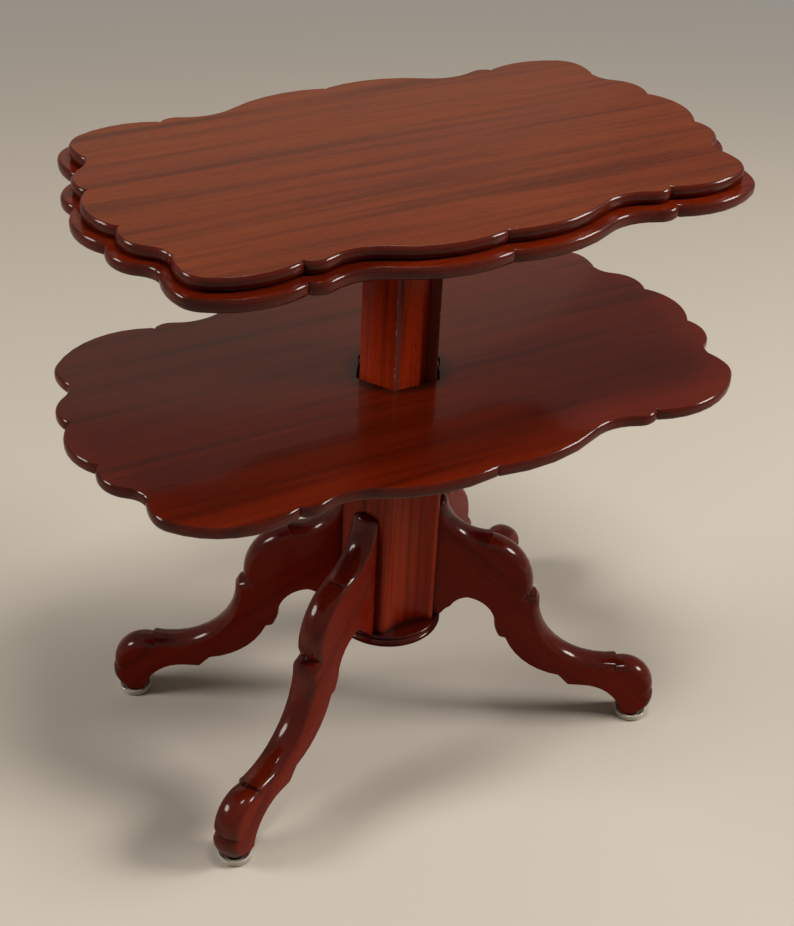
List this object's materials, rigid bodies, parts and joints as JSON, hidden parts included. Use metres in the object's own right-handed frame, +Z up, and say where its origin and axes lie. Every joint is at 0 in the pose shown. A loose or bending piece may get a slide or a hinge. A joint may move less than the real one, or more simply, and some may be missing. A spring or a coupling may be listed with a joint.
{
  "type": "telescopic tiered serving table",
  "caption": "Rise-and-fall tiered serving table: scalloped mahogany boards on a telescoping hexagonal pillar with spring catches, above scrolled splayed legs in clear cups.",
  "frame": {"origin": "on the floor, under the axis of the column", "axes": "+Z up, +X along the long side of the boards, -Y to the front, the side with the key of the top plate"},
  "size_m": [0.992, 0.572, 0.968],
  "materials": {
    "top_mahogany": "polished",
    "middle_mahogany": "polished",
    "lower_mahogany": "polished",
    "sleeve_mahogany": "polished",
    "column_mahogany": "polished",
    "leg_mahogany": "polished",
    "hidden_wood": "raw",
    "dowel_wood": "raw",
    "catch_iron": "blackened",
    "screw_steel": "dull",
    "clear_cup": "clear"
  },
  "bodies": {
    "base": {"leg_front_right": "leg_mahogany", "leg_front_left": "leg_mahogany", "leg_back_left": "leg_mahogany", "leg_back_right": "leg_mahogany", "caster_cup_front_right": "clear_cup", "caster_cup_front_left": "clear_cup", "caster_cup_back_left": "clear_cup", "caster_cup_back_right": "clear_cup", "column_stave_front_right": "column_mahogany", "column_stave_front_left": "column_mahogany", "column_stave_back_left": "column_mahogany", "column_stave_back_right": "column_mahogany", "column_panel_front": "column_mahogany", "column_panel_back": "column_mahogany", "base_disc": "column_mahogany", "column_top_plate": "hidden_wood", "lower_board": "lower_mahogany", "leg_dowels": "dowel_wood", "plate_dowels": "dowel_wood", "plate_screws": "screw_steel", "disc_screws": "screw_steel"},
    "middle_carriage": {"middle_board": "middle_mahogany", "sleeve_stave_front_right": "sleeve_mahogany", "sleeve_stave_front_left": "sleeve_mahogany", "sleeve_stave_back_left": "sleeve_mahogany", "sleeve_stave_back_right": "sleeve_mahogany", "sleeve_cleat_front": "hidden_wood", "sleeve_cleat_back": "hidden_wood", "sleeve_catch_front_right": "catch_iron", "sleeve_catch_back_left": "catch_iron", "sleeve_catch_screws": "screw_steel", "sleeve_dowels": "dowel_wood"},
    "top_carriage": {"top_board": "top_mahogany", "inner_post": "sleeve_mahogany", "post_stop_block": "hidden_wood", "stop_block_screws": "screw_steel", "post_catch_front_right": "catch_iron", "post_catch_back_left": "catch_iron", "post_catch_screws": "screw_steel", "post_dowels": "dowel_wood"}
  },
  "joints": [
    {"name": "middle_lift", "type": "slide", "parent": "base", "child": "middle_carriage", "axis": [0, 0, 1], "range_m": [-0.292, 0], "deforming": ["sleeve_catch_front_right", "sleeve_catch_back_left"]},
    {"name": "top_lift", "type": "slide", "parent": "middle_carriage", "child": "top_carriage", "axis": [0, 0, 1], "range_m": [0, 0.295], "deforming": ["post_catch_front_right", "post_catch_back_left"]}
  ]
}
